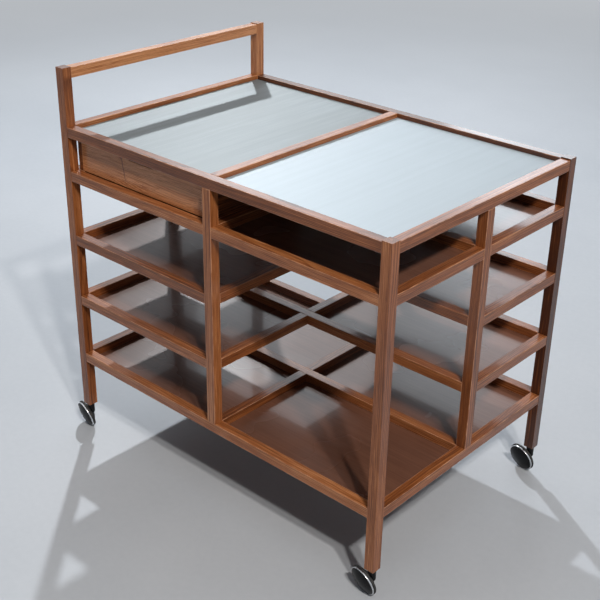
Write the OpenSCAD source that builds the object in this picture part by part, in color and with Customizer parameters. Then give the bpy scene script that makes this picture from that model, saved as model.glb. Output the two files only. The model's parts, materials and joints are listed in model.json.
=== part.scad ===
// Serving cart: a frame of square wooden bars with two recessed tops, trays on four
// levels, one drawer and four ball casters. Millimetres, +Z up. +X is the way the cart
// is pushed, so the handle is at the -X end, the rear. +Y is the left side.
// The origin is on the floor, under the middle of the whole footprint with its casters.

/* [Frame] */
// Length over the posts
frame_l = 1000; // [800:10:1300]
// Width over the posts
frame_w = 670; // [520:10:900]
// Side of the square posts
bar = 25; // [22:1:32]
// Height of every rail
rail_h = 25; // [22:1:32]
// How far the rails stand back from the posts' faces
rail_inset = 0.5; // [0.2:0.1:1.5]
// Length of the front posts
low_post_h = 779; // [680:1:900]
// Length of the rear posts, which carry the handle
tall_post_h = 917; // [820:1:1100]
// How far the top rails lie below the front posts' tops
top_drop = 3; // [1:1:6]
// How far the handle lies below the rear posts' tops
handle_drop = 2; // [1:1:20]
// Thickness of the stub tenons
tenon_t = 8; // [6:1:10]
// Height of the stub tenons
tenon_h = 13; // [10:1:16]

/* [Shelves] */
// Height of the bottom rails' tops above the posts' lower ends
bottom_shelf_h = 161; // [120:1:220]
// Clear height under the top rails, where the drawer goes
top_bay_h = 86; // [60:1:120]
// Thickness of the trays' panels
panel_t = 3; // [3:0.5:6]
// Width of the rabbet that a tray panel lies in
rabbet_w = 6; // [5:0.5:8]
// Depth of the top panels below the rails' tops
top_recess = 10.5; // [6:0.5:13]
// Thickness of the top panels
top_panel_t = 3; // [2:0.5:5]
// Width of the ledge under the top panels
ledge_w = 8; // [6:1:12]

/* [Drawer] */
// Gap between the drawer front and the posts beside it
drawer_side_gap = 3.5; // [2:0.5:6]
// Gap above and below the drawer front
drawer_gap = 1.5; // [1:0.5:3]
// Room behind the drawer, for the stops
drawer_room = 7.5; // [5:0.5:60]
// Thickness of the drawer front
front_t = 12; // [10:1:16]
// Thickness of the drawer's sides, whose ends show beside the front
side_t = 14; // [10:1:16]
// Thickness of the drawer's back
back_t = 10; // [8:1:12]
// Height of the drawer's back
back_h = 62; // [45:1:70]
// Thickness of the drawer's bottom
drawer_bottom_t = 4; // [3:0.5:6]
// Width of the finger scoop in the drawer front
scoop_w = 90; // [60:1:140]
// Depth of the finger scoop
scoop_h = 14; // [10:1:20]
// Width of the two strips that the drawer slides on
runner_w = 20; // [16:1:26]

/* [Casters] */
// Height of the casters, from the floor to the posts' lower ends
caster_h = 80; // [78:1:100]
// Diameter of the wheels
wheel_d = 76; // [64:1:80]
// Lean of the wheels: each top leans away from the post
tilt = 15; // [8:1:20]
// How far a wheel's centre trails behind the stem
trail = 19; // [14:1:24]
// How far a wheel's face lies to the side of the stem
side_step = 10.5; // [8:0.5:14]
// Turn of the casters as they stand
caster_yaw = -11; // [-20:1:20]
// Diameter of the stems and of the wheels' axles
pin_d = 8; // [7:0.5:10]
// Length of the sockets in the posts
socket_l = 34; // [26:1:45]
// Wall of the sockets
socket_wall = 2.4; // [1.5:0.1:3]

/* [Hidden] */
$fn = 64;

wood = "#7a4c34";
drawer_wood = "#6b442c";
tray_brown = "#5c453c";
steel = "#c4cacf";
black = "#1a1b1e";
chrome = "#d9dcdf";

// How far a cut runs past the face that it opens
over = 1;
// Clearance round a tenon in its mortise
tenon_gap = 0.2;
// Wood left between two tenons that meet in one post
tenon_web = 1;
// Clearance round a panel
panel_gap = 0.5;
// Clearance of a moving flat face
slide_gap = 0.3;
// Radial clearance of a turning pin
turn_gap = 0.05;
// Radial clearance of a pressed pin or socket
press_gap = 0.02;

// Posts and rails: middles, inner faces and levels
rail_w = bar - 2 * rail_inset;
post_x = (frame_l - bar) / 2;
post_y = (frame_w - bar) / 2;
post_in_x = frame_l / 2 - bar;
post_in_y = frame_w / 2 - bar;
rail_in_x = post_in_x + rail_inset;
rail_in_y = post_in_y + rail_inset;
half_post = bar / 2;
half_rail = rail_w / 2;
tenon_l = (bar - tenon_t) / 2 - tenon_web;
bottom_z = caster_h + bottom_shelf_h;
top_z = caster_h + low_post_h - top_drop;
upper_z = top_z - rail_h - top_bay_h;
shelf_pitch = (upper_z - bottom_z) / 3;
low_z = bottom_z + shelf_pitch;
high_z = low_z + shelf_pitch;
handle_z = caster_h + tall_post_h - handle_drop;

// Drawer: the opening and the box in it
drawer_left = -post_in_x + drawer_side_gap;
drawer_right = -half_post - drawer_side_gap;
drawer_w = drawer_right - drawer_left;
drawer_face_y = -post_in_y + panel_gap;
drawer_low = upper_z + drawer_gap;
drawer_high = top_z - rail_h - drawer_gap;
side_low = upper_z + slide_gap;
bottom_lift = 6;
groove_d = 5;
scoop_r = 8;
stop_h = 8;
drawer_back_y = -half_rail - drawer_room;
drawer_depth = drawer_back_y - drawer_face_y;

// Casters: the wheel leans, so its tread touches the floor a little behind its face
wheel_r = wheel_d / 2;
pin_r = pin_d / 2;
tread_back = 4.8;
wheel_back = 11;
ring_back = 4.2;
ring_step = 1.8;
ring_w = 2.4;
face_step = 3;
dome_h = 7;
hub_r = pin_r + 6.4;
hollow_r = wheel_r - 8.6;
hollow_d = 4.8;
rib_t = 1.6;
rib_count = 8;
hood_gap = 0.8;
socket_r = pin_r + turn_gap + socket_wall;
flange_r = socket_r + 3.4;
flange_t = 1.5;
neck_r = 9.5;
elbow_r = 9.8;
elbow_z = -25;
housing_r = 28;
housing_h = 12;
hood_top = -flange_t - slide_gap;
stem_low = -22;
axle_back = 21;
axle_front = 3;
wheel_z = wheel_r * cos(tilt) - tread_back * sin(tilt) - caster_h;

// The casters trail to the rear, so the frame stands ahead of the footprint's middle
wheel_turn_x = -trail * cos(caster_yaw) + side_step * sin(caster_yaw);
rim_half_x = wheel_r * sqrt(1 - pow(cos(tilt) * sin(caster_yaw), 2));
foot_low_x = -post_x + wheel_turn_x - rim_half_x;
foot_high_x = max(frame_l / 2, post_x + wheel_turn_x + rim_half_x);
frame_x = -(foot_low_x + foot_high_x) / 2;

// The four bays, and the two that have every level
all_bays = [[-1, -1], [1, -1], [1, 1], [-1, 1]];
full_bays = [[-1, -1], [1, 1]];

// A bar is the pair of middle points of its end faces
function along(s) = (s[1] - s[0]) / norm(s[1] - s[0]);
function mid_z(top) = top - rail_h / 2;
function x_bar(x0, x1, y, top) = [[x0, y, mid_z(top)], [x1, y, mid_z(top)]];
function y_bar(y0, y1, x, top) = [[x, y0, mid_z(top)], [x, y1, mid_z(top)]];
function x_half(side, y, top) = side < 0
    ? x_bar(-post_in_x, -half_post, y, top)
    : x_bar(half_post, post_in_x, y, top);
function y_half(side, x, top) = side < 0
    ? y_bar(-post_in_y, -half_post, x, top)
    : y_bar(half_post, post_in_y, x, top);
function long_cross(reach, top) = [x_bar(-reach, reach, 0, top)];
function short_crosses(reach, top) = [
    y_bar(-reach, -half_rail, 0, top),
    y_bar(half_rail, reach, 0, top)
];
function diagonal_rails(top) = [
    x_half(-1, -post_y, top),
    y_half(-1, -post_x, top),
    x_half(1, post_y, top),
    y_half(1, post_x, top)
];
function mid_post(x, y) = [[x, y, bottom_z], [x, y, top_z - rail_h]];

// The bars of each level
top_right = [x_bar(-post_in_x, post_in_x, -post_y, top_z)];
top_left = [x_bar(-post_in_x, post_in_x, post_y, top_z)];
top_rear = [y_bar(-post_in_y, post_in_y, -post_x, top_z)];
top_front = [y_bar(-post_in_y, post_in_y, post_x, top_z)];
divider = [y_bar(-rail_in_y, rail_in_y, 0, top_z)];
handle = [y_bar(-post_in_y, post_in_y, -post_x, handle_z)];
upper_right = [x_half(-1, -post_y, upper_z), x_half(1, -post_y, upper_z)];
upper_left = [x_half(-1, post_y, upper_z), x_half(1, post_y, upper_z)];
upper_rear = [y_half(-1, -post_x, upper_z), y_half(1, -post_x, upper_z)];
upper_front = [y_half(-1, post_x, upper_z), y_half(1, post_x, upper_z)];
bottom_right = [x_bar(-post_in_x, post_in_x, -post_y, bottom_z)];
bottom_left = [x_bar(-post_in_x, post_in_x, post_y, bottom_z)];
bottom_rear = [y_bar(-post_in_y, post_in_y, -post_x, bottom_z)];
bottom_front = [y_bar(-post_in_y, post_in_y, post_x, bottom_z)];
mid_posts = [
    mid_post(0, -post_y),
    mid_post(0, post_y),
    mid_post(-post_x, 0),
    mid_post(post_x, 0)
];

// Every bar that ends in tenons, and its tenons as [point, way out]
tenoned = concat(
    top_right, top_left, top_rear, top_front, divider, handle,
    upper_right, upper_left, upper_rear, upper_front,
    long_cross(post_in_x, upper_z), short_crosses(post_in_y, upper_z),
    diagonal_rails(high_z), long_cross(post_in_x, high_z), short_crosses(post_in_y, high_z),
    diagonal_rails(low_z), long_cross(post_in_x, low_z), short_crosses(post_in_y, low_z),
    bottom_right, bottom_left, bottom_rear, bottom_front,
    long_cross(rail_in_x, bottom_z), short_crosses(rail_in_y, bottom_z),
    mid_posts
);
tenons = [for (s = tenoned) each [[s[0], -along(s)], [s[1], along(s)]]];

// Lowest and highest corners of a bar of width w and height h
function half_size(i, w, h) = (i == 2 ? h : w) / 2;
function reach_out(s, i, w, h) = along(s)[i] == 0 ? half_size(i, w, h) : 0;
function bar_box(s, w, h) = [
    [for (i = [0:2]) min(s[0][i], s[1][i]) - reach_out(s, i, w, h)],
    [for (i = [0:2]) max(s[0][i], s[1][i]) + reach_out(s, i, w, h)]
];
function inside(p, box) = min([for (i = [0:2]) min(p[i] - box[0][i], box[1][i] - p[i])]) > 0;

module box_solid(box) {
    translate(box[0]) cube(box[1] - box[0]);
}

// A stub tenon, or with spare its mortise
module tenon(t, spare = 0) {
    run = tenon_l + spare + over;
    size = [for (i = [0:2])
        t[1][i] != 0 ? run : (i == 2 ? tenon_h : tenon_t) + 2 * spare];
    translate(t[0] + t[1] * (run / 2 - over)) cube(size, center = true);
}

// The mortises of all the bars that end inside a box
module mortises(box) {
    for (t = tenons)
        if (inside(t[0] + t[1] * tenon_l / 2, box)) tenon(t, tenon_gap);
}

// Mirrors what is drawn in the front left bay into another bay
module in_bay(bay) {
    mirror([bay.x < 0 ? 1 : 0, 0, 0])
        mirror([0, bay.y < 0 ? 1 : 0, 0])
            children();
}

// What a tray panel takes out of the rails round it
module panel_pocket(top) {
    low = half_rail - rabbet_w;
    translate([low, low, top - rail_h - over])
        cube([
            rail_in_x + rabbet_w - low,
            rail_in_y + rabbet_w - low,
            panel_t + over
        ]);
}

module bar_with_tenons(s, w, h) {
    union() {
        box_solid(bar_box(s, w, h));
        tenon([s[0], -along(s)]);
        tenon([s[1], along(s)]);
    }
}

// Rails of one level, with a rabbet along each bay that has a panel
module rails(bars, top, bays) {
    color(wood) translate([frame_x, 0, 0])
        for (s = bars)
            difference() {
                bar_with_tenons(s, rail_w, rail_h);
                mortises(bar_box(s, rail_w, rail_h));
                for (b = bays) in_bay(b) panel_pocket(top);
            }
}

module corner_post(x, y, h) {
    s = [[x, y, caster_h], [x, y, caster_h + h]];
    color(wood) translate([frame_x, 0, 0])
        difference() {
            box_solid(bar_box(s, bar, bar));
            mortises(bar_box(s, bar, bar));
            translate([x, y, caster_h - over])
                cylinder(r = socket_r + press_gap, h = socket_l + over + slide_gap);
        }
}

module middle_post(s) {
    color(wood) translate([frame_x, 0, 0])
        difference() {
            union() {
                box_solid(bar_box(s, bar, bar));
                upright_tenon(s[0], -1);
                upright_tenon(s[1], 1);
            }
            mortises(bar_box(s, bar, bar));
        }
}

module upright_tenon(at, way) {
    tenon([at, [0, 0, way]]);
}

// The ledges under the top panels
ledge_low = top_z - rail_h;
ledge_high = top_z - top_recess - top_panel_t;
ledge_end_y = rail_in_y - ledge_w - slide_gap;

module ledge(x0, x1, y0, y1) {
    box_solid([[x0, y0, ledge_low], [x1, y1, ledge_high]]);
}

module top_long_rail(bars, side) {
    color(wood) translate([frame_x, 0, 0])
        difference() {
            union() {
                bar_with_tenons(bars[0], rail_w, rail_h);
                for (end = [-1, 1])
                    in_bay([end, side])
                        ledge(half_rail + slide_gap, post_in_x,
                              rail_in_y - ledge_w, rail_in_y + over);
            }
            mortises(bar_box(bars[0], rail_w, rail_h));
        }
}

module top_end_rail(bars, side) {
    color(wood) translate([frame_x, 0, 0])
        difference() {
            union() {
                bar_with_tenons(bars[0], rail_w, rail_h);
                in_bay([side, 1])
                    ledge(rail_in_x - ledge_w, rail_in_x + over,
                          -ledge_end_y, ledge_end_y);
            }
            mortises(bar_box(bars[0], rail_w, rail_h));
        }
}

module top_divider() {
    edge = half_rail + ledge_w;
    color(wood) translate([frame_x, 0, 0])
        union() {
            bar_with_tenons(divider[0], rail_w, rail_h);
            ledge(-edge, edge, -ledge_end_y, ledge_end_y);
        }
}

module handle_bar() {
    color(wood) translate([frame_x, 0, 0])
        bar_with_tenons(handle[0], rail_w, rail_h);
}

module top_panel(side) {
    low_x = half_rail + panel_gap;
    edge_x = rail_in_x - panel_gap - rail_inset;
    edge_y = rail_in_y - panel_gap - rail_inset;
    color(steel) translate([frame_x, 0, 0])
        in_bay([side, 1])
            box_solid([[low_x, -edge_y, ledge_high], [edge_x, edge_y, ledge_high + top_panel_t]]);
}

// Tray panels, notched round the posts that stand in their corners
module tray_panels(bays, top, mid_notch) {
    low = half_rail - rabbet_w + panel_gap;
    high_x = rail_in_x + rabbet_w - panel_gap;
    high_y = rail_in_y + rabbet_w - panel_gap;
    z = top - rail_h;
    color(tray_brown) translate([frame_x, 0, 0])
        for (b = bays)
            in_bay(b)
                difference() {
                    box_solid([[low, low, z], [high_x, high_y, z + panel_t]]);
                    notch(post_in_x - panel_gap, post_in_y - panel_gap, z);
                    if (mid_notch) {
                        mirror([1, 0, 0])
                            notch(-half_post - panel_gap, post_in_y - panel_gap, z);
                        mirror([0, 1, 0])
                            notch(post_in_x - panel_gap, -half_post - panel_gap, z);
                    }
                }
}

module notch(x, y, z) {
    translate([x, y, z - over]) cube([bar, bar, panel_t + 2 * over]);
}

// Drawer
module scoop() {
    x = (drawer_left + drawer_right) / 2;
    half = scoop_w / 2 - scoop_r;
    z = drawer_high - scoop_h + scoop_r;
    y = drawer_face_y - over;
    deep = front_t + 2 * over;
    translate([x, y, z]) {
        for (end = [-half, half])
            translate([end, 0, 0]) rotate([-90, 0, 0]) cylinder(r = scoop_r, h = deep);
        translate([-half, 0, -scoop_r]) cube([2 * half, deep, scoop_r + over]);
        translate([-half - scoop_r, 0, 0])
            cube([scoop_w, deep, scoop_h - scoop_r + over]);
    }
}

module drawer_groove() {
    inner = side_t - groove_d;
    translate([
        drawer_left + inner,
        drawer_face_y + front_t - groove_d,
        side_low + bottom_lift
    ])
        cube([
            drawer_w - 2 * inner,
            drawer_depth - front_t - back_t + 2 * groove_d,
            drawer_bottom_t
        ]);
}

module drawer_front() {
    color(drawer_wood) translate([frame_x, 0, 0])
        difference() {
            translate([drawer_left + side_t, drawer_face_y, drawer_low])
                cube([drawer_w - 2 * side_t, front_t, drawer_high - drawer_low]);
            scoop();
            drawer_groove();
        }
}

module drawer_sides() {
    color(wood) translate([frame_x, 0, 0])
        for (x = [drawer_left, drawer_right - side_t])
            difference() {
                translate([x, drawer_face_y, side_low])
                    cube([side_t, drawer_depth, drawer_high - side_low]);
                drawer_groove();
            }
}

module drawer_back() {
    color(wood) translate([frame_x, 0, 0])
        difference() {
            translate([drawer_left + side_t, drawer_back_y - back_t, side_low])
                cube([drawer_w - 2 * side_t, back_t, back_h]);
            drawer_groove();
        }
}

module drawer_bottom() {
    inner = side_t - groove_d + slide_gap;
    color(tray_brown) translate([
        frame_x + drawer_left + inner,
        drawer_face_y + front_t - groove_d + slide_gap,
        side_low + bottom_lift
    ])
        cube([
            drawer_w - 2 * inner,
            drawer_depth - front_t - back_t + 2 * (groove_d - slide_gap),
            drawer_bottom_t
        ]);
}

// Two strips that lie in the tray, flush with its rails, with a stop behind the drawer
module drawer_runners() {
    front_y = -rail_in_y + slide_gap;
    rear_y = -half_rail - slide_gap;
    tray_z = upper_z - rail_h + panel_t;
    color(wood) translate([frame_x, 0, 0])
        for (x = [-post_in_x + slide_gap, -half_post - slide_gap - runner_w])
            union() {
                box_solid([[x, front_y, tray_z], [x + runner_w, rear_y, upper_z]]);
                box_solid([
                    [x, drawer_back_y + slide_gap, upper_z - over],
                    [x + runner_w, rear_y, upper_z + stop_h]
                ]);
            }
}

// Casters
module at_casters() {
    for (x = [-post_x, post_x])
        for (y = [-post_y, post_y])
            translate([frame_x + x, y, caster_h]) children();
}

module caster_sockets() {
    color(chrome) at_casters()
        difference() {
            union() {
                cylinder(r = socket_r, h = socket_l);
                translate([0, 0, -flange_t]) cylinder(r = flange_r, h = flange_t);
            }
            translate([0, 0, -flange_t - over])
                cylinder(r = pin_r + turn_gap, h = socket_l + flange_t + 2 * over);
        }
}

// Turns a caster's own frame, stem up at the post's lower end, into its place
module at_caster(x, y) {
    translate([frame_x + x, y, caster_h]) rotate([0, 0, caster_yaw]) children();
}

// The wheel's own frame: +Z out of its face, which looks sideways and down
module at_wheel() {
    translate([-trail, -side_step, wheel_z]) rotate([90 + tilt, 0, 0]) children();
}

// From the lower end of the stem's boss into the middle of the housing
module neck_arm() {
    elbow = [0, 0, elbow_z];
    back = wheel_back + housing_h / 2;
    hub = [-trail, -side_step + back * cos(tilt), wheel_z + back * sin(tilt)];
    reach = hub - elbow;
    translate(elbow) sphere(r = elbow_r);
    translate(elbow)
        rotate([0, acos(reach.z / norm(reach)), atan2(reach.y, reach.x)])
            cylinder(r = neck_r, h = norm(reach));
}

// The shallow dome behind the wheel
module housing() {
    dome_r = (pow(housing_r, 2) + pow(housing_h, 2)) / (2 * housing_h);
    back = -wheel_back - hood_gap;
    intersection() {
        translate([0, 0, back - housing_h + dome_r]) sphere(r = dome_r);
        translate([0, 0, back - housing_h - over])
            cylinder(r = housing_r, h = housing_h + 2 * over);
    }
}

module caster_hood(x, y) {
    color(black) at_caster(x, y)
        difference() {
            union() {
                translate([0, 0, elbow_z]) cylinder(r = neck_r, h = hood_top - elbow_z);
                neck_arm();
                at_wheel() housing();
            }
            at_wheel()
                translate([0, 0, -wheel_back - hood_gap])
                    cylinder(r = wheel_r + hood_gap, h = wheel_r * 2);
            translate([0, 0, stem_low])
                cylinder(r = pin_r + press_gap, h = hood_top - stem_low + over);
            at_wheel()
                translate([0, 0, -axle_back])
                    cylinder(r = pin_r + press_gap, h = axle_back);
        }
}

module caster_pins(x, y) {
    color(chrome) at_caster(x, y) {
        translate([0, 0, stem_low + slide_gap])
            cylinder(r = pin_r, h = socket_l - stem_low - over);
        at_wheel()
            translate([0, 0, -axle_back + slide_gap])
                cylinder(r = pin_r, h = axle_back - axle_front - slide_gap);
    }
}

module tyre() {
    rotate_extrude()
        polygon([
            [0, -wheel_back],
            [wheel_r - 5, -wheel_back],
            [wheel_r - 1.6, -wheel_back + 1.4],
            [wheel_r - 0.4, -wheel_back + 4],
            [wheel_r, -tread_back - 1.5],
            [wheel_r, -tread_back],
            [wheel_r - 0.8, -ring_back],
            [0, -ring_back]
        ]);
}

// The ribbed hollow in the back of a wheel
module wheel_hollow() {
    difference() {
        translate([0, 0, -wheel_back - over])
            cylinder(r = hollow_r, h = hollow_d + over);
        translate([0, 0, -wheel_back - 2 * over])
            cylinder(r = hub_r, h = hollow_d + 3 * over);
        for (k = [0:rib_count - 1])
            rotate([0, 0, k * 360 / rib_count])
                translate([0, -rib_t / 2, -wheel_back])
                    cube([wheel_r, rib_t, hollow_d + over]);
    }
}

module caster_wheel(x, y) {
    face_r = wheel_r - face_step;
    dome_r = (pow(face_r, 2) + pow(dome_h, 2)) / (2 * dome_h);
    color(black) at_caster(x, y) at_wheel()
        difference() {
            union() {
                tyre();
                translate([0, 0, -ring_back - over])
                    cylinder(r = wheel_r - ring_step - ring_w - press_gap, h = ring_back + 2 * over);
                intersection() {
                    cylinder(r = face_r, h = dome_h + over);
                    translate([0, 0, dome_h - dome_r]) sphere(r = dome_r);
                }
            }
            translate([0, 0, -wheel_back - over])
                cylinder(r = pin_r + turn_gap, h = wheel_back + over - axle_front + slide_gap);
            wheel_hollow();
        }
}

module caster_ring(x, y) {
    ring_r = wheel_r - ring_step;
    color(chrome) at_caster(x, y) at_wheel()
        translate([0, 0, -ring_back])
            difference() {
                cylinder(r = ring_r, h = ring_back);
                translate([0, 0, -over]) cylinder(r = ring_r - ring_w, h = ring_back + 2 * over);
            }
}

corner_post(-post_x, -post_y, tall_post_h);  // rear_right_post
corner_post(-post_x, post_y, tall_post_h);  // rear_left_post
corner_post(post_x, -post_y, low_post_h);  // front_right_post
corner_post(post_x, post_y, low_post_h);  // front_left_post
middle_post(mid_posts[0]);  // right_mid_post
middle_post(mid_posts[1]);  // left_mid_post
middle_post(mid_posts[2]);  // rear_mid_post
middle_post(mid_posts[3]);  // front_mid_post
top_long_rail(top_right, -1);  // top_right_rail
top_long_rail(top_left, 1);  // top_left_rail
top_end_rail(top_rear, -1);  // top_rear_rail
top_end_rail(top_front, 1);  // top_front_rail
top_divider();
handle_bar();
rails(upper_right, upper_z, all_bays);  // upper_right_rails
rails(upper_left, upper_z, all_bays);  // upper_left_rails
rails(upper_rear, upper_z, all_bays);  // upper_rear_rails
rails(upper_front, upper_z, all_bays);  // upper_front_rails
rails(long_cross(post_in_x, upper_z), upper_z, all_bays);  // upper_long_cross
rails(short_crosses(post_in_y, upper_z), upper_z, all_bays);  // upper_short_crosses
rails(diagonal_rails(high_z), high_z, full_bays);  // high_rails
rails(long_cross(post_in_x, high_z), high_z, full_bays);  // high_long_cross
rails(short_crosses(post_in_y, high_z), high_z, full_bays);  // high_short_crosses
rails(diagonal_rails(low_z), low_z, full_bays);  // low_rails
rails(long_cross(post_in_x, low_z), low_z, full_bays);  // low_long_cross
rails(short_crosses(post_in_y, low_z), low_z, full_bays);  // low_short_crosses
rails(bottom_right, bottom_z, all_bays);  // bottom_right_rail
rails(bottom_left, bottom_z, all_bays);  // bottom_left_rail
rails(bottom_rear, bottom_z, all_bays);  // bottom_rear_rail
rails(bottom_front, bottom_z, all_bays);  // bottom_front_rail
rails(long_cross(rail_in_x, bottom_z), bottom_z, all_bays);  // bottom_long_cross
rails(short_crosses(rail_in_y, bottom_z), bottom_z, all_bays);  // bottom_short_crosses
top_panel(-1);  // top_rear_panel
top_panel(1);  // top_front_panel
tray_panels(all_bays, upper_z, true);  // upper_panels
tray_panels(full_bays, high_z, true);  // high_panels
tray_panels(full_bays, low_z, true);  // low_panels
tray_panels(all_bays, bottom_z, false);  // bottom_panels
drawer_front();
drawer_sides();
drawer_back();
drawer_bottom();
drawer_runners();
caster_sockets();
caster_hood(-post_x, -post_y);  // rear_right_hood
caster_pins(-post_x, -post_y);  // rear_right_pins
caster_wheel(-post_x, -post_y);  // rear_right_wheel
caster_ring(-post_x, -post_y);  // rear_right_ring
caster_hood(-post_x, post_y);  // rear_left_hood
caster_pins(-post_x, post_y);  // rear_left_pins
caster_wheel(-post_x, post_y);  // rear_left_wheel
caster_ring(-post_x, post_y);  // rear_left_ring
caster_hood(post_x, -post_y);  // front_right_hood
caster_pins(post_x, -post_y);  // front_right_pins
caster_wheel(post_x, -post_y);  // front_right_wheel
caster_ring(post_x, -post_y);  // front_right_ring
caster_hood(post_x, post_y);  // front_left_hood
caster_pins(post_x, post_y);  // front_left_pins
caster_wheel(post_x, post_y);  // front_left_wheel
caster_ring(post_x, post_y);  // front_left_ring
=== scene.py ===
"""Looks of the serving cart: wood, trays, steel tops, casters, studio floor, lights and camera.

Everything is in metres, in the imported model's frame. +X is the front, -X the push bar's
end, the drawer opens to -Y, and +Z is up.
"""
import json
import math

import bmesh
import bpy
from mathutils import Matrix, Vector


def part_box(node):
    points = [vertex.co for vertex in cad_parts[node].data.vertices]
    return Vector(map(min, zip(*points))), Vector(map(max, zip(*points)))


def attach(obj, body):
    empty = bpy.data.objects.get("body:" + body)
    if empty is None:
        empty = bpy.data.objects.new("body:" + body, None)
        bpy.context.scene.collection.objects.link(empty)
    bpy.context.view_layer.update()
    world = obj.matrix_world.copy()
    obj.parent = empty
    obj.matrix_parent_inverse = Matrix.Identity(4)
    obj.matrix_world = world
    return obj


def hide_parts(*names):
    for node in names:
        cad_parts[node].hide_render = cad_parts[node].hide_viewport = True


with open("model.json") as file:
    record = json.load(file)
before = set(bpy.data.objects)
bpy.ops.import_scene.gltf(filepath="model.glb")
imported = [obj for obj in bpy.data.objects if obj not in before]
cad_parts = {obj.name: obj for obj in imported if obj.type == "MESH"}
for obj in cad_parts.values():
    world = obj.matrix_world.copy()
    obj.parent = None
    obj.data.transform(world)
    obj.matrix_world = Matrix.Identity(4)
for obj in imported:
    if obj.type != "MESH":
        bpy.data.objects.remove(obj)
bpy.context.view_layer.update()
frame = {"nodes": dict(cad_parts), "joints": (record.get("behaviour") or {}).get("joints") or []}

CORNERS = ("rear_right", "rear_left", "front_right", "front_left")


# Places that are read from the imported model

def middle(node):
    low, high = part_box(node)
    return (low + high) / 2


frame_middle = (middle("rear_right_post") + middle("front_left_post")) / 2
post_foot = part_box("rear_right_post")[0].z
deck_half_x = middle("front_right_post").x - frame_middle.x
joints = {joint["name"]: joint for joint in frame["joints"]}


# Material helpers

def srgb(red, green, blue):
    """A colour as it shows on a screen, 0 to 255, as Blender's linear one."""
    channels = []
    for value in (red, green, blue):
        share = value / 255
        linear = share / 12.92 if share <= 0.04045 else ((share + 0.055) / 1.055) ** 2.4
        channels.append(linear)
    return (*channels, 1.0)


# The Mix node's colour sockets by number, because its sockets share their names.
MIX_FIRST = 6
MIX_SECOND = 7
MIX_RESULT = 2


class Nodes:
    """Short calls for one material's node tree."""

    def __init__(self, name):
        self.material = bpy.data.materials.new(name)
        self.material.use_nodes = True
        self.tree = self.material.node_tree
        self.tree.nodes.clear()
        self.shader = self.add("ShaderNodeBsdfPrincipled")
        self.output = self.add("ShaderNodeOutputMaterial")
        self.tree.links.new(self.shader.outputs["BSDF"], self.output.inputs["Surface"])

    def add(self, kind, **settings):
        node = self.tree.nodes.new(kind)
        for key, value in settings.items():
            setattr(node, key, value)
        return node

    def put(self, socket, value):
        """Links an output to a socket, or sets the socket's own value."""
        if isinstance(value, bpy.types.NodeSocket):
            self.tree.links.new(value, socket)
        elif value is not None:
            socket.default_value = value

    def math(self, operation, first, second=None, third=None):
        node = self.add("ShaderNodeMath", operation=operation)
        for socket, value in zip(node.inputs, (first, second, third)):
            self.put(socket, value)
        return node.outputs[0]

    def weighted(self, *parts):
        """The sum of (value, weight) pairs, each value times its weight."""
        total = None
        for value, weight in parts:
            share = self.math("MULTIPLY", value, weight)
            total = share if total is None else self.math("ADD", total, share)
        return total

    def vector(self, operation, first, second):
        node = self.add("ShaderNodeVectorMath", operation=operation)
        self.put(node.inputs[0], first)
        self.put(node.inputs[1], second)
        return node.outputs[0]

    def length(self, vector):
        node = self.add("ShaderNodeVectorMath", operation="LENGTH")
        self.put(node.inputs[0], vector)
        return node.outputs["Value"]

    def split(self, vector):
        node = self.add("ShaderNodeSeparateXYZ")
        self.put(node.inputs[0], vector)
        return node.outputs

    def join(self, x, y, z):
        node = self.add("ShaderNodeCombineXYZ")
        for socket, value in zip(node.inputs, (x, y, z)):
            self.put(socket, value)
        return node.outputs[0]

    def drawn_out(self, vector, x_scale, y_scale):
        """The vector with X and Y scaled, so that noise runs along the one with less."""
        x, y, z = self.split(vector)
        return self.join(self.math("MULTIPLY", x, x_scale), self.math("MULTIPLY", y, y_scale), z)

    def noise(self, vector, scale=1.0, detail=4.0, roughness=0.55):
        node = self.add("ShaderNodeTexNoise")
        self.put(node.inputs["Vector"], vector)
        node.inputs["Scale"].default_value = scale
        node.inputs["Detail"].default_value = detail
        node.inputs["Roughness"].default_value = roughness
        return node.outputs["Fac"]

    def ramp(self, value, *stops):
        """Stops are (place, colour or grey level)."""
        node = self.add("ShaderNodeValToRGB")
        self.put(node.inputs[0], value)
        elements = node.color_ramp.elements
        while len(elements) < len(stops):
            elements.new(0.5)
        for element, (place, colour) in zip(elements, stops):
            element.position = place
            is_grey = isinstance(colour, (int, float))
            element.color = (colour, colour, colour, 1.0) if is_grey else colour
        return node.outputs[0]

    def mix(self, share, first, second):
        node = self.add("ShaderNodeMix", data_type="RGBA")
        self.put(node.inputs[0], share)
        self.put(node.inputs[MIX_FIRST], first)
        self.put(node.inputs[MIX_SECOND], second)
        return node.outputs[MIX_RESULT]

    def map_range(self, value, low, high, to_low, to_high):
        node = self.add("ShaderNodeMapRange")
        for socket, number in zip(node.inputs, (value, low, high, to_low, to_high)):
            self.put(socket, number)
        return node.outputs[0]

    def bump(self, height, distance, strength):
        node = self.add("ShaderNodeBump")
        self.put(node.inputs["Height"], height)
        node.inputs["Distance"].default_value = distance
        node.inputs["Strength"].default_value = strength
        self.put(self.shader.inputs["Normal"], node.outputs[0])

    def set(self, **values):
        """Sockets of the main shader, by name, with _ for a space."""
        for key, value in values.items():
            self.put(self.shader.inputs[key.replace("_", " ")], value)
        return self.material

    def place(self):
        """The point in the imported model's frame at rest, which rides with its body."""
        return self.add("ShaderNodeTexCoord").outputs["Object"]

    def facing(self, axis):
        """How squarely a face looks along X, Y or Z (0, 1, 2), from 0 to 1."""
        normal = self.add("ShaderNodeTexCoord").outputs["Normal"]
        return self.math("ABSOLUTE", self.split(normal)[axis])

    def own(self, name):
        """A custom property of the object that wears the material."""
        node = self.add("ShaderNodeAttribute", attribute_type="OBJECT", attribute_name=name)
        return node.outputs["Vector"], node.outputs["Fac"]


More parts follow.
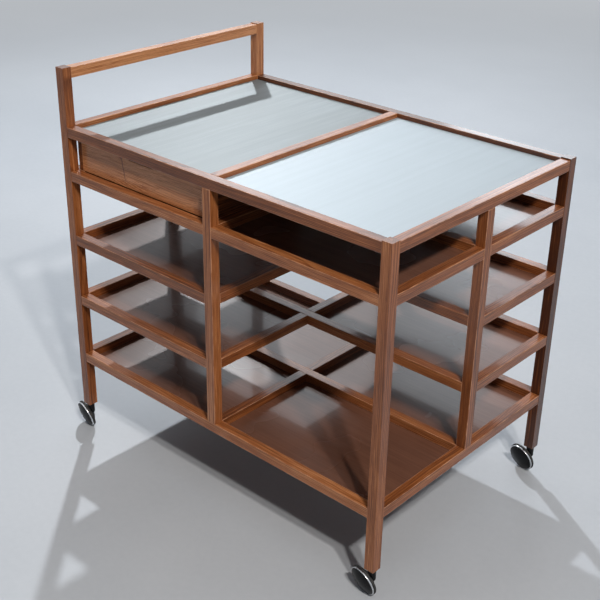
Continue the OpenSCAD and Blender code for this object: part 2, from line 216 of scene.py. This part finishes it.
# Wood

WOOD_DARK = srgb(66, 33, 17)
WOOD_MIDDLE = srgb(134, 75, 37)
WOOD_LIGHT = srgb(168, 104, 59)
WOOD_PALE = srgb(208, 146, 99)
# The worn colour is partly a painted highlight: pale arrises where the edges would catch the light.
WOOD_WORN_AND_HIGHLIGHT = srgb(206, 152, 116)
PORE_DARK = srgb(48, 27, 17)
END_DARK = srgb(58, 34, 22)
SHADES = ((0.04, WOOD_PALE), (0.26, WOOD_LIGHT), (0.46, WOOD_MIDDLE), (0.78, WOOD_DARK))

# A ring's width, how dark it is from its start to its end, and the way to the rings' middle.
RING = 0.0034
LATE_WOOD = ((0.0, 0.25), (0.55, 0.42), (0.9, 1.0), (1.0, 0.25))
PITH = (0.11, 0.07, 0.0)

# Patterns per metre: twice across the grain, then along it.
SLOW_SCALE = (9.0, 9.0, 1.6)
CLOUD_SCALE = (14.0, 14.0, 2.0)
VEIN_SCALE = (95.0, 95.0, 1.1)
STREAK_SCALE = (170.0, 170.0, 3.0)
FIBRE_SCALE = (620.0, 620.0, 15.0)
PORE_SCALE = (1700.0, 1700.0, 46.0)

# How far the slow sway moves the rings.
SWAY_ACROSS = 0.030
SWAY_UP = 0.022

# The summed shade less its mean, times the contrast, lies round the middle of the shades.
SHADE_MEAN = 1.18
SHADE_MIDDLE = 0.44
VEIN_HALF_WIDTH = 0.035
PORE_SHARE = 0.55
END_SHARE = 0.38
LEAST_ROUGHNESS = 0.42

# The knot: one over its half sizes, its place, and how the grain bends and darkens at it.
KNOT_SHAPE = (18.0, 0.0, 30.0)
DRAWER_KNOT = (-0.292, 0.0, 0.815)
KNOT_FALL = 2.2
KNOT_LIFT = 0.016
KNOT_CORE_FALL = 2.6
KNOT_SHADE = 0.30

# The crack starts this far above the knot's middle and fades at the end of its length.
CRACK_START = 0.015
CRACK_LENGTH = 0.080
CRACK_FADE_FROM = 0.7
CRACK_SLANT = 0.20
CRACK_WANDER = 0.010
CRACK_WANDER_SCALE = 90.0
CRACK_HALF_WIDTH = 0.0024
CRACK_SHARE = 0.85
CRACK_DARK = srgb(50, 28, 32)


def crack(n, knot):
    """A fine slanting crack across the grain, from the knot's upper edge downwards."""
    place = n.split(n.place())
    x = place[0]
    z = place[2]
    drop = n.math("SUBTRACT", knot[2] + CRACK_START, z)
    wander = n.noise(n.join(0.0, 0.0, z), scale=CRACK_WANDER_SCALE, detail=3.0)
    centre = n.math("MULTIPLY_ADD", drop, CRACK_SLANT, knot[0])
    centre = n.math("ADD", centre, n.math("MULTIPLY_ADD", wander, CRACK_WANDER, -CRACK_WANDER / 2))
    away = n.math("ABSOLUTE", n.math("SUBTRACT", x, centre))
    line = n.map_range(away, low=0.0, high=CRACK_HALF_WIDTH, to_low=1.0, to_high=0.0)
    fade = n.map_range(drop, low=CRACK_FADE_FROM * CRACK_LENGTH, high=CRACK_LENGTH,
                       to_low=1.0, to_high=0.0)
    return n.math("MULTIPLY", line, fade)


def wood(name, grain, figure=1.0, contrast=1.0, worn_and_highlit=False, knot=None):
    """Solid lacquered wood with its grain along X, Y or Z (0, 1, 2).

    The rings are real cylinders far beside the board, so an end shows them as arcs.
    """
    n = Nodes(name)
    board = n.own("board")[0]
    tone_and_painted_light = n.own("tone_and_painted_light")[1]
    shifted = n.vector("ADD", n.place(), board)
    x, y, z = n.split(shifted)
    across, up, along = ((y, z, x), (x, z, y), (x, y, z))[grain]
    local = n.join(across, up, along)
    slow = n.vector("MULTIPLY", local, SLOW_SCALE)
    sway = n.math("SUBTRACT", n.noise(slow, detail=2.0), 0.5)
    bent = n.vector("ADD", local, n.join(n.math("MULTIPLY", sway, SWAY_ACROSS * figure),
                                         n.math("MULTIPLY", sway, SWAY_UP * figure), 0.0))
    if knot:
        from_knot = n.vector("MULTIPLY", n.vector("SUBTRACT", n.place(), knot), KNOT_SHAPE)
        near = n.map_range(n.length(from_knot), low=0.0, high=1.0, to_low=1.0, to_high=0.0)
        near = n.math("POWER", near, KNOT_FALL)
        bent = n.vector("ADD", bent, n.join(0.0, n.math("MULTIPLY", near, KNOT_LIFT), 0.0))

    flat = n.vector("MULTIPLY", n.vector("ADD", bent, PITH), (1.0, 1.0, 0.0))
    ring = n.math("FRACT", n.math("DIVIDE", n.length(flat), RING))
    late = n.ramp(ring, *LATE_WOOD)
    fibre = n.noise(n.vector("MULTIPLY", bent, FIBRE_SCALE), detail=5.0, roughness=0.66)
    streak = n.noise(n.vector("MULTIPLY", bent, STREAK_SCALE), detail=4.0, roughness=0.6)
    vein = n.noise(n.vector("MULTIPLY", bent, VEIN_SCALE), detail=2.0)
    vein = n.math("ABSOLUTE", n.math("SUBTRACT", vein, 0.5))
    vein = n.map_range(vein, low=0.0, high=VEIN_HALF_WIDTH, to_low=1.0, to_high=0.0)
    cloud = n.noise(n.vector("MULTIPLY", local, CLOUD_SCALE), detail=3.0)

    shade = n.weighted((late, 0.30), (streak, 0.70), (fibre, 0.90), (cloud, 0.45), (vein, 0.09))
    shade = n.math("SUBTRACT", shade, SHADE_MEAN)
    shade = n.math("MULTIPLY_ADD", shade, contrast, SHADE_MIDDLE)
    # Adds the bar's tone, which for some bars is painted light and shade.
    shade = n.math("ADD", shade, tone_and_painted_light)
    if knot:
        core = n.math("POWER", near, KNOT_CORE_FALL)
        shade = n.math("ADD", shade, n.math("MULTIPLY", core, KNOT_SHADE))
    colour = n.ramp(shade, *SHADES)
    pores = n.noise(n.vector("MULTIPLY", bent, PORE_SCALE), detail=2.0)
    pore = n.map_range(pores, low=0.63, high=0.70, to_low=0.0, to_high=1.0)
    colour = n.mix(n.math("MULTIPLY", pore, PORE_SHARE), colour, PORE_DARK)
    if knot:
        colour = n.mix(n.math("MULTIPLY", crack(n, knot), CRACK_SHARE), colour, CRACK_DARK)
    end = n.map_range(n.facing(grain), low=0.75, high=0.95, to_low=0.0, to_high=1.0)
    colour = n.mix(n.math("MULTIPLY", end, END_SHARE), colour, END_DARK)
    # Worn edges: pale patches for wear, lightened as a painted highlight on the arrises too.
    if worn_and_highlit:
        patches = n.noise(n.place(), scale=34.0, detail=5.0)
        rub_and_highlight = n.map_range(patches, low=0.36, high=0.60, to_low=0.10, to_high=0.75)
        colour = n.mix(rub_and_highlight, colour, WOOD_WORN_AND_HIGHLIGHT)

    rough = n.weighted((fibre, 0.18), (pore, 0.15))
    rough = n.math("ADD", rough, LEAST_ROUGHNESS)
    height = n.math("SUBTRACT", n.math("MULTIPLY", fibre, 0.5), pore)
    n.bump(height, distance=0.00012, strength=0.55)
    return n.set(Base_Color=colour, Roughness=rough, Coat_Weight=0.80, Coat_Roughness=0.16,
                 Specular_IOR_Level=0.15)


# Trays, tops, caster materials and the floor

def tray_board(name):
    """Smooth brown lacquer over board, with faint grain and dust."""
    n = Nodes(name)
    place = n.place()
    grain = n.noise(n.drawn_out(place, x_scale=5.0, y_scale=190.0), detail=5.0)
    cloud = n.noise(place, scale=5.0, detail=4.0)
    dust = n.noise(place, scale=700.0, detail=2.0)
    shade = n.weighted((grain, 0.55), (cloud, 0.55))
    colour = n.ramp(shade, (0.36, srgb(120, 82, 66)), (0.72, srgb(98, 66, 52)))
    speck = n.map_range(dust, low=0.66, high=0.74, to_low=0.0, to_high=0.05)
    colour = n.mix(speck, colour, srgb(160, 148, 140))
    smear = n.noise(place, scale=6.0, detail=2.0, roughness=0.5)
    rough = n.map_range(smear, low=0.3, high=0.7, to_low=0.22, to_high=0.30)
    return n.set(Base_Color=colour, Roughness=rough, Specular_IOR_Level=0.34,
                 Coat_Weight=0.38, Coat_Roughness=0.07)


def brushed_steel(name):
    """Pale steel sheet, brushed along Y, with wide streaks and smears."""
    n = Nodes(name)
    place = n.place()
    brush = n.noise(n.drawn_out(place, x_scale=1500.0, y_scale=9.0), detail=6.0)
    wide = n.noise(n.drawn_out(place, x_scale=60.0, y_scale=1.5), detail=3.0)
    smear = n.noise(place, scale=3.0, detail=3.0, roughness=0.5)
    lines = n.weighted((brush, 0.30), (wide, 0.18))
    lines = n.math("ADD", lines, n.math("MULTIPLY_ADD", smear, 0.25, 0.13))
    # The tone lightens or darkens a whole top as painted light: the rear top is set darker for the
    # light and reflections it gets.
    lines = n.math("ADD", lines, n.own("tone_and_painted_light")[1])
    colour = n.ramp(lines, (0.1, srgb(120, 127, 130)), (0.4, srgb(156, 166, 173)),
                    (0.8, srgb(178, 189, 197)))
    haze = n.weighted((smear, 0.7), (brush, 0.3))
    rough = n.map_range(haze, low=0.3, high=0.7, to_low=0.57, to_high=0.62)
    n.bump(brush, distance=0.00004, strength=0.35)
    return n.set(Base_Color=colour, Metallic=0.3, Roughness=rough)


def turned_steel(name):
    """Bare steel with the fine rings that a lathe leaves round Z."""
    n = Nodes(name)
    place = n.place()
    z = n.split(place)[2]
    lathe = n.noise(n.join(0.0, 0.0, n.math("MULTIPLY", z, 2500.0)), detail=3.0)
    spots = n.noise(place, scale=260.0, detail=4.0)
    colour = n.ramp(spots, (0.35, srgb(168, 168, 170)), (0.7, srgb(196, 196, 198)))
    rough = n.map_range(spots, low=0.3, high=0.7, to_low=0.22, to_high=0.38)
    n.bump(lathe, distance=0.00003, strength=0.4)
    return n.set(Base_Color=colour, Metallic=1.0, Roughness=rough)


def moulded_black(name):
    """Satin black plastic with a fine moulded grain and dusty scuffs."""
    n = Nodes(name)
    place = n.place()
    fine = n.noise(place, scale=1800.0, detail=3.0)
    dust = n.noise(place, scale=90.0, detail=6.0, roughness=0.7)
    scuff = n.map_range(dust, low=0.55, high=0.75, to_low=0.0, to_high=0.10)
    colour = n.mix(scuff, srgb(12, 12, 14), srgb(64, 62, 62))
    rough = n.map_range(dust, low=0.3, high=0.7, to_low=0.24, to_high=0.46)
    n.bump(fine, distance=0.00005, strength=0.35)
    return n.set(Base_Color=colour, Roughness=rough, Specular_IOR_Level=0.15)


def tread_black(name):
    """Dull black tread with dirt from the floor."""
    n = Nodes(name)
    place = n.place()
    fine = n.noise(place, scale=900.0, detail=4.0)
    dirt = n.noise(place, scale=120.0, detail=6.0, roughness=0.7)
    soiled = n.map_range(dirt, low=0.42, high=0.7, to_low=0.0, to_high=0.55)
    colour = n.mix(soiled, srgb(20, 20, 21), srgb(86, 82, 78))
    rough = n.map_range(dirt, low=0.3, high=0.7, to_low=0.55, to_high=0.8)
    n.bump(fine, distance=0.0001, strength=0.5)
    return n.set(Base_Color=colour, Roughness=rough)


def plated(name):
    """Bright plating with a little haze."""
    n = Nodes(name)
    place = n.place()
    haze = n.noise(place, scale=150.0, detail=5.0)
    colour = n.ramp(haze, (0.35, srgb(232, 234, 236)), (0.75, srgb(206, 209, 212)))
    rough = n.map_range(haze, low=0.3, high=0.75, to_low=0.22, to_high=0.34)
    n.bump(n.noise(place, scale=500.0, detail=2.0), distance=0.00002, strength=0.3)
    return n.set(Base_Color=colour, Metallic=1.0, Roughness=rough)


# The floor fades into the backdrop between these distances from the middle.
BACKDROP = (0.93, 0.97, 1.02, 1.0)
BACKDROP_STRENGTH = 0.55
FADE_FROM = 2.6
FADE_TO = 6.5


def seen(tree):
    """1 for the rays that show the backdrop: from the camera, or on from gloss or glass."""
    path = tree.nodes.new("ShaderNodeLightPath")
    total = path.outputs["Is Camera Ray"]
    for kind in ("Is Glossy Ray", "Is Transmission Ray"):
        add = tree.nodes.new("ShaderNodeMath")
        add.operation = "ADD"
        add.use_clamp = True
        tree.links.new(total, add.inputs[0])
        tree.links.new(path.outputs[kind], add.inputs[1])
        total = add.outputs[0]
    return total


def pale_floor(name):
    """Pale screed that fades into the backdrop well away from the cart."""
    n = Nodes(name)
    place = n.place()
    wide = n.noise(place, scale=0.9, detail=6.0, roughness=0.6)
    fine = n.noise(place, scale=60.0, detail=5.0)
    mixed = n.weighted((wide, 0.8), (fine, 0.2))
    colour = n.ramp(mixed, (0.3, srgb(178, 184, 192)), (0.7, srgb(194, 199, 206)))
    rough = n.map_range(wide, low=0.3, high=0.7, to_low=0.5, to_high=0.62)
    n.bump(fine, distance=0.0003, strength=0.2)
    fade = n.map_range(n.length(place), low=FADE_FROM, high=FADE_TO, to_low=0.0, to_high=1.0)
    glow = n.add("ShaderNodeEmission")
    glow.inputs["Color"].default_value = BACKDROP
    glow.inputs["Strength"].default_value = BACKDROP_STRENGTH
    blend = n.add("ShaderNodeMixShader")
    n.put(blend.inputs[0], n.math("MULTIPLY", fade, seen(n.tree)))
    n.put(blend.inputs[1], n.shader.outputs["BSDF"])
    n.put(blend.inputs[2], glow.outputs[0])
    n.put(n.output.inputs["Surface"], blend.outputs[0])
    return n.set(Base_Color=colour, Roughness=rough)


WOODS = [wood(f"wood_{axis}", number) for number, axis in enumerate("xyz")]
# Eased edges get a paler wood, part wear and part painted highlight.
EDGES = [wood(f"wood_edge_{axis}", number, worn_and_highlit=True) for number, axis in enumerate("xyz")]
FIGURED = wood("wood_figured", 0, figure=2.6, contrast=0.9, knot=DRAWER_KNOT)
BOARD = tray_board("tray_board")
STEEL = brushed_steel("brushed_steel")
PIN = turned_steel("turned_steel")
BLACK = moulded_black("moulded_black")
TREAD = tread_black("tread_black")
CHROME = plated("plated")


# CAD nodes that stay: eased edges, and the grain along each bar

ALONG_X = (
    "top_right_rail", "top_left_rail", "upper_right_rails", "upper_left_rails",
    "upper_long_cross", "high_long_cross", "low_long_cross",
    "bottom_right_rail", "bottom_left_rail", "bottom_long_cross", "drawer_back",
)
ALONG_Y = (
    "top_rear_rail", "top_front_rail", "top_divider", "handle_bar",
    "upper_rear_rails", "upper_front_rails", "upper_short_crosses",
    "high_short_crosses", "low_short_crosses",
    "bottom_rear_rail", "bottom_front_rail", "bottom_short_crosses",
    "drawer_sides", "drawer_runners",
)
ALONG_Z = (
    "rear_right_post", "rear_left_post", "front_right_post", "front_left_post",
    "right_mid_post", "left_mid_post", "rear_mid_post", "front_mid_post",
)
BOTH_WAYS = ("high_rails", "low_rails")
TRAYS = ("upper_panels", "high_panels", "low_panels", "bottom_panels", "drawer_bottom")
TOPS = ("top_rear_panel", "top_front_panel")

# The tone of a bar or a top, part its own colour and part painted light and shade:
# some bars and the rear top are set lighter or darker for the light that falls on them.
# More makes wood darker and steel brighter.
TONES_AND_PAINTED_LIGHT = {
    "handle_bar": -0.36,
    "top_right_rail": 0.12,
    "top_left_rail": 0.27,
    "top_rear_rail": -0.09,
    "top_divider": -0.06,
    "rear_right_post": -0.02,
    "rear_left_post": -0.24,
    "front_right_post": -0.01,
    "front_left_post": 0.33,
    "right_mid_post": -0.15,
    "front_mid_post": 0.05,
    "upper_right_rails": -0.12,
    "upper_left_rails": 0.16,
    "high_rails": 0.07,
    "high_long_cross": 0.12,
    "low_rails": 0.0,
    "bottom_right_rail": -0.08,
    "bottom_rear_rail": 0.12,
    "bottom_short_crosses": 0.08,
    "drawer_front": -0.28,
    "drawer_sides": 0.10,
    "top_rear_panel": -0.37,
    "top_front_panel": 0.05,
}

# Bars without a tone above get a small one. Boards step through the wood and start again.
TONE_SWING = 0.04
TONE_STEP = 2.4
BOARD_STEPS = (0.137, 0.211, 0.389)
BOARD_SPANS = (1.9, 1.3, 3.1)
DRAWER_FRONT_BOARD = 77

BAR_EASE = 0.0010
DRAWER_FRONT_EASE = 0.0005
TRAY_EASE = 0.0004
TOP_EASE = 0.0005
PIN_EASE = 0.0003
EASE_SEGMENTS = 2
SHARP_DEGREES = 50
WELD_REACH = 0.00001

# From a corner post's middle inwards, past the rail that runs crosswise there.
CROSSWISE_REACH = 0.0135


def wear(node, *materials):
    node.data.materials.clear()
    for material in materials:
        node.data.materials.append(material)
    for polygon in node.data.polygons:
        polygon.material_index = 0


def ease(node, width, edge_slot):
    """Rounds the sharp edges without touching the mesh itself."""
    weld = node.modifiers.new("weld", "WELD")
    weld.merge_threshold = WELD_REACH
    bevel = node.modifiers.new("ease", "BEVEL")
    bevel.width = width
    bevel.segments = EASE_SEGMENTS
    bevel.limit_method = "ANGLE"
    bevel.angle_limit = math.radians(SHARP_DEGREES)
    bevel.material = edge_slot
    bevel.harden_normals = False
    node.modifiers.new("normals", "WEIGHTED_NORMAL").keep_sharp = True


def give_board(node, number):
    """Each bar is cut from another place of the wood, and is a little lighter or darker. For some
    bars that tone is painted light and shade.
    """
    node["board"] = tuple(step * number % span for step, span in zip(BOARD_STEPS, BOARD_SPANS))
    node["tone_and_painted_light"] = TONES_AND_PAINTED_LIGHT.get(node.name, TONE_SWING * math.sin(TONE_STEP * number))


def dress_bars():
    number = 1
    for names, grain in ((ALONG_X, 0), (ALONG_Y, 1), (ALONG_Z, 2)):
        for name in names:
            node = frame["nodes"][name]
            wear(node, WOODS[grain], EDGES[grain])
            give_board(node, number)
            ease(node, BAR_EASE, 1)
            number += 1
    for name in BOTH_WAYS:
        node = frame["nodes"][name]
        wear(node, WOODS[0], WOODS[1], EDGES[0])
        for polygon in node.data.polygons:
            crosswise = abs(polygon.center.x - frame_middle.x) > deck_half_x - CROSSWISE_REACH
            polygon.material_index = 1 if crosswise else 0
        give_board(node, number)
        ease(node, BAR_EASE, 2)
        number += 1


def dress_sheets():
    for name in TRAYS:
        node = frame["nodes"][name]
        wear(node, BOARD)
        ease(node, TRAY_EASE, 0)
    for name in TOPS:
        node = frame["nodes"][name]
        wear(node, STEEL)
        # The tops' tones are painted light and reflection.
        node["tone_and_painted_light"] = TONES_AND_PAINTED_LIGHT[name]
        ease(node, TOP_EASE, 0)


def dress_drawer_front():
    node = frame["nodes"]["drawer_front"]
    wear(node, FIGURED, EDGES[0])
    give_board(node, DRAWER_FRONT_BOARD)
    ease(node, DRAWER_FRONT_EASE, 1)


def dress_pins():
    for name in ["caster_sockets"] + [corner + "_pins" for corner in CORNERS]:
        node = frame["nodes"][name]
        wear(node, PIN)
        ease(node, PIN_EASE, 0)


# Casters: a turned wheel, a plated ring and a smooth hood

# Backs and ends are depths behind the dome's foot.
WHEEL_R = 0.03785
WHEEL_BACK = 0.011
WEB_BACK = 0.0062
RING_BACK = 0.0042
RING_R = 0.0362
RING_W = 0.0024
RING_ROUND = 0.0011
DOME_R = 0.0343
DOME_H = 0.0070
AXLE_R = 0.00405
BORE_END = 0.0034
TREAD_INNER_R = 0.0300
TREAD_ROUND = 0.0045
TREAD_END = 0.0062
CHAMFER = 0.0006
FILLET = 0.0012
TURN_STEPS = 128
ON_AXIS = 1e-6


def arc(middle_point, radius, start, end, steps):
    """Points of an arc in the profile plane, degrees from the outward radius."""
    points = []
    for step in range(steps + 1):
        angle = math.radians(start + (end - start) * step / steps)
        points.append((middle_point[0] + radius * math.cos(angle),
                       middle_point[1] + radius * math.sin(angle)))
    return points


def turned(name, profile, at, axis, material, closed=False):
    """A lathe piece: profile points are (radius, place along the axis)."""
    mesh = bpy.data.meshes.new(name)
    shape = bmesh.new()
    turn = Vector(axis).to_track_quat("Z", "Y").to_matrix()
    rings = []
    for radius, along in profile:
        if radius < ON_AXIS:
            rings.append([shape.verts.new(turn @ Vector((0, 0, along)) + at)])
            continue
        ring = []
        for step in range(TURN_STEPS):
            angle = 2 * math.pi * step / TURN_STEPS
            point = Vector((radius * math.cos(angle), radius * math.sin(angle), along))
            ring.append(shape.verts.new(turn @ point + at))
        rings.append(ring)
    pairs = list(zip(rings, rings[1:]))
    if closed:
        pairs.append((rings[-1], rings[0]))
    for lower, upper in pairs:
        for step in range(TURN_STEPS):
            after = (step + 1) % TURN_STEPS
            if len(lower) == 1:
                shape.faces.new((lower[0], upper[after], upper[step]))
            elif len(upper) == 1:
                shape.faces.new((lower[step], lower[after], upper[0]))
            else:
                shape.faces.new((lower[step], lower[after], upper[after], upper[step]))
    bmesh.ops.recalc_face_normals(shape, faces=shape.faces)
    shape.to_mesh(mesh)
    shape.free()
    for polygon in mesh.polygons:
        polygon.use_smooth = True
    piece = bpy.data.objects.new(name, mesh)
    bpy.context.scene.collection.objects.link(piece)
    mesh.materials.append(material)
    return piece


def wheel_profile():
    """From the axle's bore, over the hollow back, round the tread and up the dome."""
    bore = [(AXLE_R, -BORE_END), (AXLE_R, -WHEEL_BACK + CHAMFER), (AXLE_R + 0.0005, -WHEEL_BACK)]
    hub = [(0.0098, -WHEEL_BACK), (0.0104, -WHEEL_BACK + CHAMFER), (0.0106, -WEB_BACK - FILLET)]
    web = [(0.0118, -WEB_BACK), (0.0276, -WEB_BACK), (0.0290, -WEB_BACK - FILLET)]
    rim = [(0.0294, -WHEEL_BACK + CHAMFER), (TREAD_INNER_R, -WHEEL_BACK)]
    tread = arc((WHEEL_R - TREAD_ROUND, -WHEEL_BACK + TREAD_ROUND), TREAD_ROUND, -90, -8, 10)
    tread_end = [(WHEEL_R, -TREAD_END)]
    front = arc((WHEEL_R - 0.0022, -RING_BACK - 0.0012), 0.0020, 0, 90, 6)
    lip = RING_R - RING_W - 0.0002
    groove = [(RING_R - 0.0003, -RING_BACK), (lip, -RING_BACK), (lip, 0.0)]
    dome_foot = [(DOME_R - 0.0007, 0.00005), (DOME_R - 0.0001, 0.0003), (DOME_R - 0.0004, 0.0007)]
    sphere_r = (DOME_R ** 2 + DOME_H ** 2) / (2 * DOME_H)
    edge = math.degrees(math.asin((DOME_R - 0.0012) / sphere_r))
    dome = arc((0.0, DOME_H - sphere_r), sphere_r, 90 - edge, 90, 24)
    return bore + hub + web + rim + tread + tread_end + front + groove + dome_foot + dome


def ring_profile():
    """A band with a rounded bright edge."""
    inner = RING_R - RING_W
    foot = [(inner, -RING_BACK), (RING_R - 0.0003, -RING_BACK), (RING_R, -RING_BACK + 0.0004)]
    bright = arc((RING_R - RING_ROUND, -0.0013), RING_ROUND, 0, 90, 8)
    return foot + bright + [(inner, -0.0002)]


def make_wheel(corner):
    roll = joints[corner + "_roll"]
    at = Vector(roll["pos_m"])
    axis = Vector(roll["axis"])
    body = corner + "_roller"
    wheel = turned(corner + "_wheel_look", wheel_profile(), at, axis, BLACK)
    wheel.data.materials.append(TREAD)
    for polygon in wheel.data.polygons:
        offset = polygon.center - at
        along = offset.dot(axis)
        radius = (offset - axis * along).length
        if radius > TREAD_INNER_R and along < -RING_BACK:
            polygon.material_index = 1
    ring = turned(corner + "_ring_look", ring_profile(), at, axis, CHROME, closed=True)
    for piece, node, slot in ((wheel, "_wheel", "black_plastic"), (ring, "_ring", "chrome")):
        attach(piece, body)
        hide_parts(corner + node)
    rib_wheel(corner, at, axis, body)


# A rib ends a little inside the wheel's back and sinks a little into the web.
RIBS = 8
RIB_LOW = 0.0104
RIB_HIGH = 0.0292
RIB_HALF = 0.0008
RIB_INSET = 0.0008
RIB_SINK = 0.0002
RIB_EASE = 0.00025
BOX_FACES = ((0, 1, 3, 2), (4, 6, 7, 5), (0, 2, 6, 4), (1, 5, 7, 3), (0, 4, 5, 1), (2, 3, 7, 6))


def rib_wheel(corner, at, axis, body):
    """Thin ribs in the hollow back of a wheel."""
    turn = axis.to_track_quat("Z", "Y").to_matrix()
    shape = bmesh.new()
    for number in range(RIBS):
        spin = Matrix.Rotation(2 * math.pi * number / RIBS, 3, "Z")
        corners = []
        for along in (-WHEEL_BACK + RIB_INSET, -WEB_BACK + RIB_SINK):
            for radius in (RIB_LOW, RIB_HIGH):
                for side in (-RIB_HALF, RIB_HALF):
                    point = turn @ (spin @ Vector((radius, side, along))) + at
                    corners.append(shape.verts.new(point))
        for face in BOX_FACES:
            shape.faces.new([corners[place] for place in face])
    bmesh.ops.recalc_face_normals(shape, faces=shape.faces)
    bmesh.ops.bevel(shape, geom=list(shape.edges), offset=RIB_EASE, segments=2, affect="EDGES")
    mesh = bpy.data.meshes.new(corner + "_wheel_ribs")
    shape.to_mesh(mesh)
    shape.free()
    mesh.materials.append(BLACK)
    piece = bpy.data.objects.new(corner + "_wheel_ribs", mesh)
    bpy.context.scene.collection.objects.link(piece)
    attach(piece, body)


HOOD_VOXEL = 0.0007
HOOD_SMOOTH_SHARE = 0.5
HOOD_SMOOTH_ROUNDS = 8


def make_hood(corner):
    """The CAD hood as one smooth moulding: its parts flow into each other."""
    node = frame["nodes"][corner + "_hood"]
    mesh = node.data.copy()
    mesh.name = corner + "_hood_look"
    piece = bpy.data.objects.new(corner + "_hood_look", mesh)
    bpy.context.scene.collection.objects.link(piece)
    mesh.materials.clear()
    mesh.materials.append(BLACK)
    remesh = piece.modifiers.new("remesh", "REMESH")
    remesh.mode = "VOXEL"
    remesh.voxel_size = HOOD_VOXEL
    remesh.use_smooth_shade = True
    smooth = piece.modifiers.new("smooth", "SMOOTH")
    smooth.factor = HOOD_SMOOTH_SHARE
    smooth.iterations = HOOD_SMOOTH_ROUNDS
    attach(piece, corner + "_swivel")
    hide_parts(corner + "_hood")


# Floor, lights and camera

FLOOR_HALF = 30.0


def make_floor():
    mesh = bpy.data.meshes.new("floor")
    half = FLOOR_HALF
    corners = [(-half, -half, 0), (half, -half, 0), (half, half, 0), (-half, half, 0)]
    mesh.from_pydata(corners, [], [(0, 1, 2, 3)])
    floor = bpy.data.objects.new("floor", mesh)
    bpy.context.scene.collection.objects.link(floor)
    mesh.materials.append(pale_floor("pale_floor"))


FILL_STRENGTH = 0.08


def make_world():
    """A faint even fill, which the eye and the gloss see as the pale backdrop."""
    world = bpy.data.worlds.new("studio")
    world.use_nodes = True
    tree = world.node_tree
    background = tree.nodes["Background"]
    background.inputs["Color"].default_value = BACKDROP
    strength = tree.nodes.new("ShaderNodeMath")
    strength.operation = "MULTIPLY_ADD"
    tree.links.new(seen(tree), strength.inputs[0])
    strength.inputs[1].default_value = BACKDROP_STRENGTH - FILL_STRENGTH
    strength.inputs[2].default_value = FILL_STRENGTH
    tree.links.new(strength.outputs[0], background.inputs["Strength"])
    bpy.context.scene.world = world


AIM_HEIGHT = 0.6
CART_MIDDLE = Vector((frame_middle.x, frame_middle.y, AIM_HEIGHT))
KEY_TRAVEL = Vector((0.62, -0.50, -0.61)).normalized()
KEY_DISTANCE = 5.0

KEY_COLOUR = (0.93, 0.97, 1.0)
BACK_COLOUR = (0.90, 0.95, 1.0)
WINDOW_COLOUR = (0.84, 0.92, 1.0)
WHITE = (1.0, 1.0, 1.0)
WARM = (1.0, 0.94, 0.87)

# Name, place, size across in metres, watts and colour. All of them look at the cart's middle.
LIGHTS = (
    ("key", CART_MIDDLE - KEY_TRAVEL * KEY_DISTANCE, 0.16, 150, KEY_COLOUR),
    ("back", (-4.13, 5.49, 4.2), 3.2, 32, BACK_COLOUR),
    ("window", (-3.45, 7.0, 3.24), 1.5, 24, WINDOW_COLOUR),
    ("overhead", (0.0, 0.0, 12.0), 14.0, 290, WHITE),
    ("front_right", (3.74, -2.68, 5.2), 0.25, 150, WARM),
    ("front_left", (4.04, -2.21, 5.2), 0.25, 150, WARM),
)


def make_lights():
    for name, at, size, watts, colour in LIGHTS:
        data = bpy.data.lights.new(name, "AREA")
        data.shape = "DISK"
        data.size = size
        data.energy = watts
        data.color = colour
        light = bpy.data.objects.new(name, data)
        bpy.context.scene.collection.objects.link(light)
        light.location = at
        light.rotation_mode = "QUATERNION"
        light.rotation_quaternion = (CART_MIDDLE - Vector(at)).to_track_quat("-Z", "Y")


# The camera comes from a fit of the photograph's corners: metres from the middle of the
# corner posts and from the posts' lower ends, and degrees.
CAMERA_AT = Vector((1.6107, -1.8283, 1.6057))
CAMERA_YAW = 131.82
CAMERA_DOWN = 27.02
CAMERA_ROLL = 1.01
LENS_PIXELS = 1102.3
IMAGE_PIXELS = 600
SENSOR = 36.0
NEAREST = 0.05
FARTHEST = 200.0


def make_camera():
    yaw, down, roll = (math.radians(angle) for angle in (CAMERA_YAW, CAMERA_DOWN, CAMERA_ROLL))
    ahead = Vector((math.cos(down) * math.cos(yaw), math.cos(down) * math.sin(yaw), -math.sin(down)))
    level = Vector((math.sin(yaw), -math.cos(yaw), 0.0))
    upward = level.cross(ahead)
    right = level * math.cos(roll) + upward * math.sin(roll)
    top = upward * math.cos(roll) - level * math.sin(roll)
    data = bpy.data.cameras.new("camera")
    data.sensor_width = SENSOR
    data.lens = LENS_PIXELS / IMAGE_PIXELS * SENSOR
    data.clip_start = NEAREST
    data.clip_end = FARTHEST
    camera = bpy.data.objects.new("camera", data)
    bpy.context.scene.collection.objects.link(camera)
    origin = Vector((frame_middle.x, frame_middle.y, post_foot))
    turn = Matrix((right, top, -ahead)).transposed().to_4x4()
    camera.matrix_world = Matrix.Translation(origin + CAMERA_AT) @ turn
    bpy.context.scene.camera = camera


dress_bars()
dress_sheets()
dress_drawer_front()
dress_pins()
for corner_name in CORNERS:
    make_wheel(corner_name)
    make_hood(corner_name)
make_floor()
make_world()
make_lights()
make_camera()
bpy.context.scene.view_settings.view_transform = "Standard"
